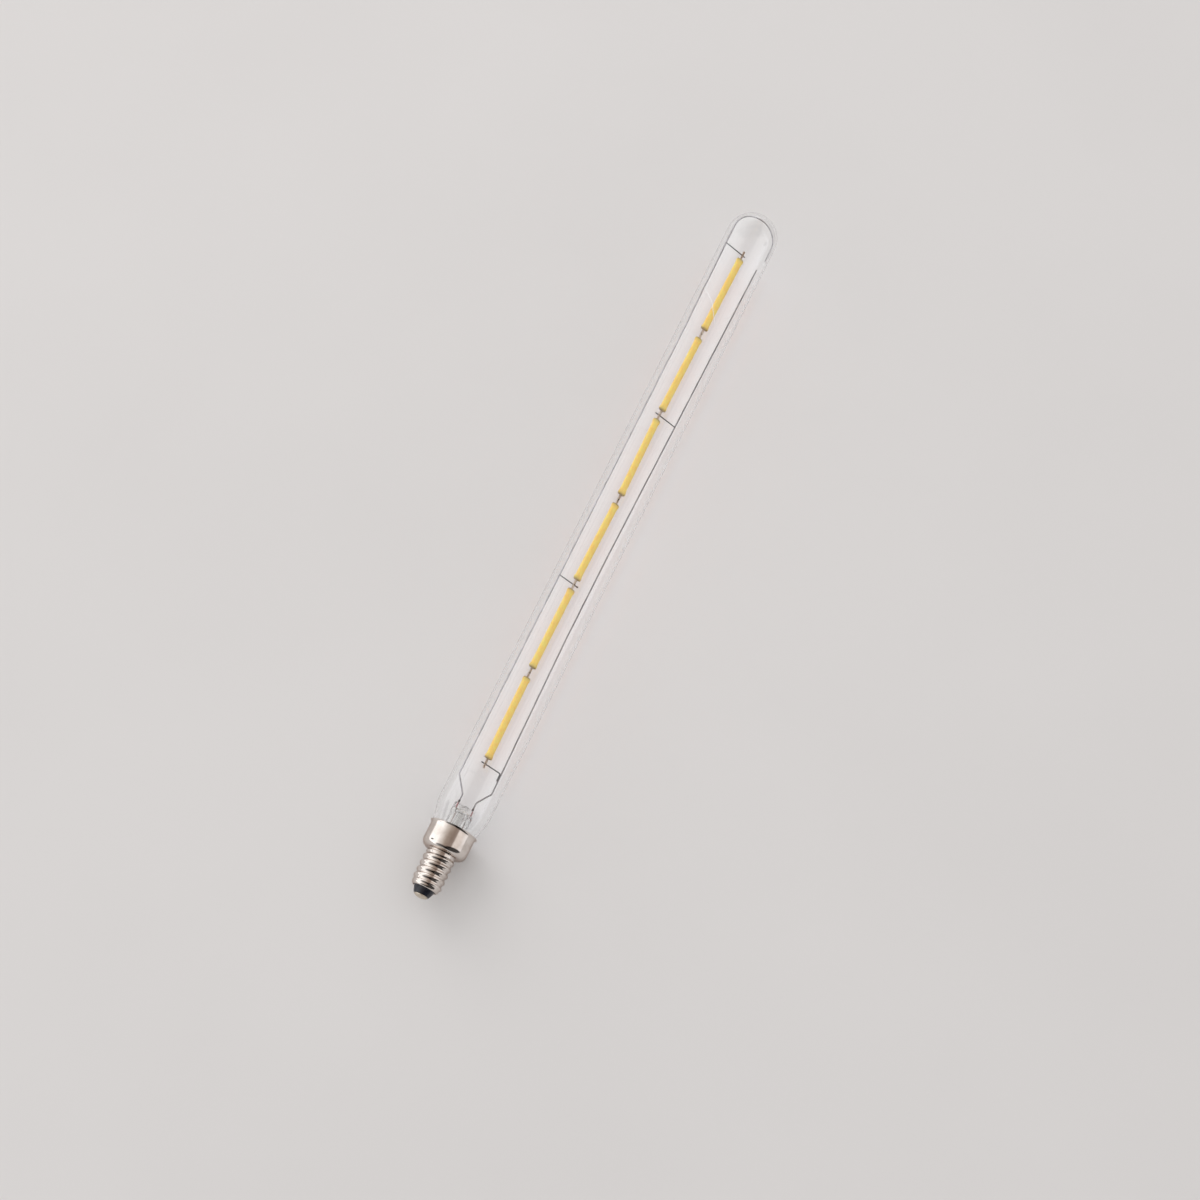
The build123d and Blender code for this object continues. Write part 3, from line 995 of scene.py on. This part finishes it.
laminate = speckled(
    "board laminate", (0.05, 0.17, 0.09), (0.03, 0.10, 0.06), scale=2200.0, roughness=0.45, height=0.00002)
resin = speckled(
    "moulded resin", (0.03, 0.03, 0.033), (0.014, 0.014, 0.016), scale=3000.0, roughness=0.6, height=0.00003)
sleeve = speckled(
    "capacitor sleeve", (0.10, 0.12, 0.20), (0.06, 0.07, 0.13), scale=900.0, roughness=0.35, height=0.00001)
lacquer = speckled(
    "resistor lacquer", (0.16, 0.30, 0.22), (0.10, 0.20, 0.15), scale=1800.0, roughness=0.4, height=0.00003)
finish_node("driver_board", laminate)
finish_node("bridge_rectifier", resin)
finish_node("current_regulator", resin)
finish_node("smoothing_capacitor", sleeve)
finish_node("fuse_resistor", lacquer)


# Table: a broad board, painted a warm pale grey and matt, that the bulb lies on.
# It runs well past the picture on all sides.

table_half_size = 3.0
table_paint = speckled(
    "painted board", (0.70, 0.678, 0.668), (0.685, 0.663, 0.653), scale=6.0, roughness=0.85, height=0.00002)
table_mesh = bpy.data.meshes.new("table")
table_form = bmesh.new()
bmesh.ops.create_grid(table_form, x_segments=1, y_segments=1, size=table_half_size)
table_form.to_mesh(table_mesh)
table_form.free()
table = bpy.data.objects.new("table", table_mesh)
bpy.context.collection.objects.link(table)
table_mesh.materials.append(table_paint)


# Light: a broad window on the bulb's left in a pale room. What shines back from metal and
# glass is darker overhead, a little to the right, beyond the bulb's foot, and in one small
# spot on its left.

window_way = Vector((0.45, 0.80, 0.50)).normalized()
window_distance = 2.0
lit_shades = [(-90, (1.06, 1.055, 1.05)), (0, (0.84, 0.838, 0.838)), (90, (0.70, 0.697, 0.70))]
seen_shades = [
    (-90, (1.64, 1.64, 1.66)), (-70, (1.54, 1.54, 1.54)), (-45, (1.38, 1.37, 1.36)),
    (-24, (0.85, 0.80, 0.76)), (-3, (0.46, 0.39, 0.34)), (20, (0.32, 0.25, 0.215)),
    (33, (0.35, 0.285, 0.25)), (39, (0.95, 0.88, 0.84)), (60, (0.92, 0.85, 0.81)),
    (90, (1.06, 1.05, 1.06)),
]
dark_spots = [
    ((-0.70, -0.68, 0.22), 48, 36, 0.07),
    ((-0.92, 0.16, 0.34), 30, 16, 0.16),
    ((-0.16, 0.92, 0.32), 10, 6, 0.06),
]

lamp = bpy.data.lights.new("window light", "AREA")
lamp.shape = "SQUARE"
lamp.size = 1.5
lamp.energy = 12.0
lamp.color = (1.0, 0.99, 0.975)
window = bpy.data.objects.new("window light", lamp)
window.location = window_way * window_distance
window.rotation_euler = window_way.to_track_quat("Z", "Y").to_euler()
window.visible_glossy = False
window.visible_transmission = False
bpy.context.collection.objects.link(window)


def shaded(nodes, links, share, shades):
    """Light by its angle over the bulb, from its left at -90 degrees to its right at 90."""
    background = nodes.new("ShaderNodeBackground")
    stops = [((degrees + 90) / 180, colour) for degrees, colour in shades]
    links.new(coloured(nodes, links, share, stops), background.inputs["Color"])
    return background


def spot_dimming(nodes, links, way):
    """Light that the dark spots leave: each has a way, its outer and inner angles and what is left."""
    strength = None
    for spot_way, outer, inner, left in dark_spots:
        near = nodes.new("ShaderNodeVectorMath")
        near.operation = "DOT_PRODUCT"
        near.inputs[1].default_value = Vector(spot_way).normalized()
        links.new(way, near.inputs[0])
        edge, middle = math.cos(math.radians(outer)), math.cos(math.radians(inner))
        dim = ranged(nodes, links, near.outputs["Value"], 1.0, left, edge, middle, "SMOOTHSTEP")
        if strength is None:
            strength = dim
            continue
        both = nodes.new("ShaderNodeMath")
        both.operation = "MULTIPLY"
        links.new(strength, both.inputs[0])
        links.new(dim, both.inputs[1])
        strength = both.outputs["Value"]
    return strength


def room_light():
    """World lit by its direction; what lights the bulb is evener than what shines back from it."""
    world = bpy.data.worlds.new("room")
    world.use_nodes = True
    world.cycles.sampling_method = "NONE"
    nodes, links = world.node_tree.nodes, world.node_tree.links
    nodes.remove(nodes["Background"])
    way = nodes.new("ShaderNodeTexCoord").outputs["Generated"]
    split = nodes.new("ShaderNodeSeparateXYZ")
    links.new(way, split.inputs["Vector"])
    turn = nodes.new("ShaderNodeMath")
    turn.operation = "ARCTAN2"
    links.new(split.outputs["Y"], turn.inputs[0])
    links.new(split.outputs["Z"], turn.inputs[1])
    share = ranged(nodes, links, turn.outputs["Value"], 0.0, 1.0, start=math.pi / 2, end=-math.pi / 2)
    lit = shaded(nodes, links, share, lit_shades)
    seen = shaded(nodes, links, share, seen_shades)
    links.new(spot_dimming(nodes, links, way), seen.inputs["Strength"])
    path = nodes.new("ShaderNodeLightPath")
    mix = nodes.new("ShaderNodeMixShader")
    links.new(path.outputs["Diffuse Depth"], mix.inputs["Fac"])
    links.new(seen.outputs["Background"], mix.inputs[1])
    links.new(lit.outputs["Background"], mix.inputs[2])
    links.new(mix.outputs["Shader"], nodes["World Output"].inputs["Surface"])
    bpy.context.scene.world = world


room_light()
bpy.context.scene.view_settings.view_transform = "Standard"


# Camera: above the table, beyond the bulb's foot, looking down at it.

camera_back = Vector((-0.3103, -0.1454, 0.9395)).normalized()
camera_target = Vector((-0.0179, -0.0087, 0.0))
camera_distance = 0.9415
lens = bpy.data.cameras.new("camera")
lens.lens = 50.0
lens.sensor_width = 24.0
lens.clip_start = 0.01
camera = bpy.data.objects.new("camera", lens)
camera.location = camera_target + camera_back * camera_distance
camera.rotation_euler = camera_back.to_track_quat("Z", "Y").to_euler()
bpy.context.collection.objects.link(camera)
bpy.context.scene.camera = camera
